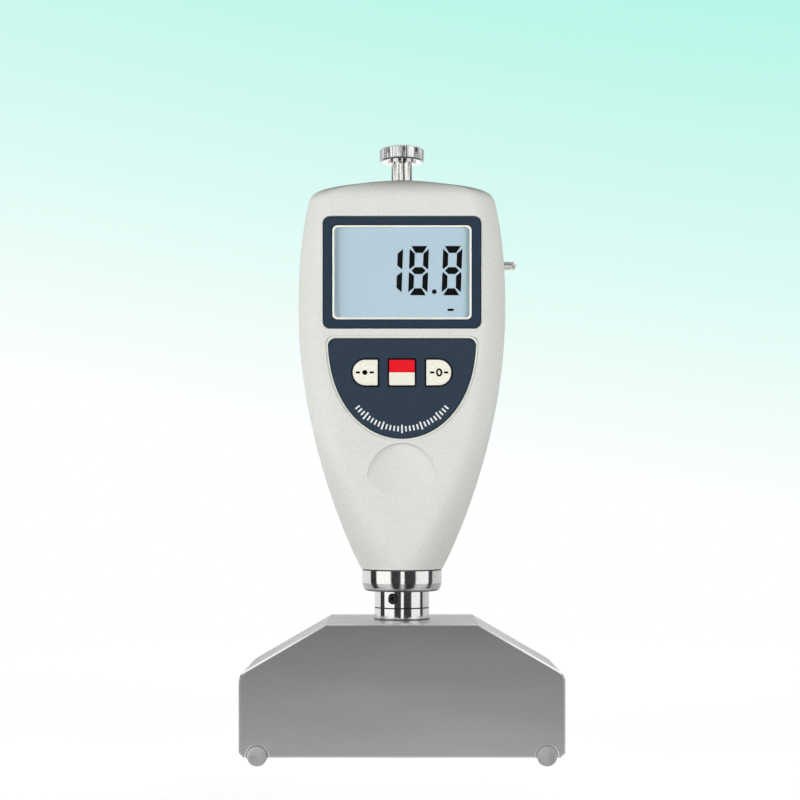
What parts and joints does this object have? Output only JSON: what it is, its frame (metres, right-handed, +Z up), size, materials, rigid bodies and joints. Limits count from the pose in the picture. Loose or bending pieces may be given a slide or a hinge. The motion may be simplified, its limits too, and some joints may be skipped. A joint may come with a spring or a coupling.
{
  "type": "mesh tension meter",
  "caption": "Handheld digital mesh tension meter: moulded housing with display and keys on a steel neck and a milled block that stands on two ground rods.",
  "frame": {"origin": "on the surface that the two rods stand on, under the axis of the neck", "axes": "+Z up along the neck and housing, the display faces -Y, +X to the viewer's right"},
  "size_m": [0.098, 0.04, 0.1895],
  "materials": {
    "housing_plastic": "fine sand texture",
    "window_navy": "printed, smooth",
    "clear_pane": "clear",
    "display_glass": "pale blue display glass with dark segments",
    "carrier_white": "moulded",
    "label_navy": "printed film",
    "key_cream": "moulded",
    "key_red": "red upper half, cream lower half",
    "board_green": "solder mask",
    "screw_steel": "zinc plated",
    "switch_black": "moulded",
    "cell_wrap": "printed sleeve, no lettering",
    "contact_nickel": "nickel plated",
    "lead_red": "insulation",
    "lead_blue": "insulation",
    "polished_steel": "turned and polished",
    "bronze": "sintered",
    "spring_steel": "drawn wire",
    "ground_steel": "ground",
    "dark_steel": "blackened",
    "ferrite": "sintered",
    "bobbin_nylon": "moulded",
    "enamelled_copper": "wound wire",
    "block_aluminium": "bead blasted faces, bright bevels"
  },
  "bodies": {
    "meter_body": {"front_shell": "housing_plastic", "rear_shell": "housing_plastic", "display_bezel": "window_navy", "display_lens": "clear_pane", "lcd_panel": "display_glass", "lcd_frame": "carrier_white", "keypad_label": "label_navy", "circuit_board": "board_green", "housing_screws": "screw_steel", "board_screws": "screw_steel", "key_switches": "switch_black", "board_chips": "switch_black", "battery_cells": "cell_wrap", "battery_contacts": "contact_nickel", "battery_springs": "contact_nickel", "battery_lead": "lead_red", "sensor_lead": "lead_blue", "strap_post": "polished_steel", "stand_post": "polished_steel", "collar": "polished_steel", "sensor_barrel": "polished_steel", "neck_adapter": "polished_steel", "upper_bush": "bronze", "lower_bush": "bronze", "measuring_spring": "spring_steel", "spring_plug": "ground_steel", "left_rod": "ground_steel", "right_rod": "ground_steel", "grub_screw": "dark_steel", "coil_bobbin": "bobbin_nylon", "coil_winding": "enamelled_copper", "base_block": "block_aluminium"},
    "spindle_group": {"measuring_spindle": "ground_steel", "spring_seat": "ground_steel", "foot_lock_nut": "ground_steel", "measuring_foot": "ground_steel", "sensor_core": "ferrite"},
    "left_key": {"left_key": "key_cream"},
    "middle_key": {"middle_key": "key_red"},
    "right_key": {"right_key": "key_cream"},
    "battery_door": {"battery_door": "housing_plastic"},
    "clamp_washer": {"clamp_washer": "polished_steel"},
    "clamp_knob": {"clamp_knob": "polished_steel"}
  },
  "joints": [
    {"name": "spindle_slide", "type": "slide", "parent": "meter_body", "child": "spindle_group", "axis": [0, 0, 1], "range_m": [-0.0025, 0.0005], "stiffness_N_per_m": 400, "springref_m": -0.0035, "deforming": ["measuring_spring"]},
    {"name": "left_key_press", "type": "slide", "parent": "meter_body", "child": "left_key", "axis": [0, 1, 0], "range_m": [0, 0.0004], "stiffness_N_per_m": 1200},
    {"name": "middle_key_press", "type": "slide", "parent": "meter_body", "child": "middle_key", "axis": [0, 1, 0], "range_m": [0, 0.0004], "stiffness_N_per_m": 1200},
    {"name": "right_key_press", "type": "slide", "parent": "meter_body", "child": "right_key", "axis": [0, 1, 0], "range_m": [0, 0.0004], "stiffness_N_per_m": 1200},
    {"name": "door_hinge", "type": "hinge", "parent": "meter_body", "child": "battery_door", "pos_m": [0, 0.01535, 0.1166], "axis": [-1, 0, 0], "range_deg": [0, 90]},
    {"name": "washer_slide", "type": "slide", "parent": "meter_body", "child": "clamp_washer", "axis": [0, 0, 1], "range_m": [-0.00241, 0]},
    {"name": "knob_turn", "type": "hinge", "parent": "clamp_washer", "child": "clamp_knob", "pos_m": [0, 0, 0.1875], "axis": [0, 0, 1], "range_deg": [-864, 0]}
  ],
  "couplings": [
    {"joint": "washer_slide", "follows": "knob_turn", "m_per_rad": 0.00015915}
  ]
}
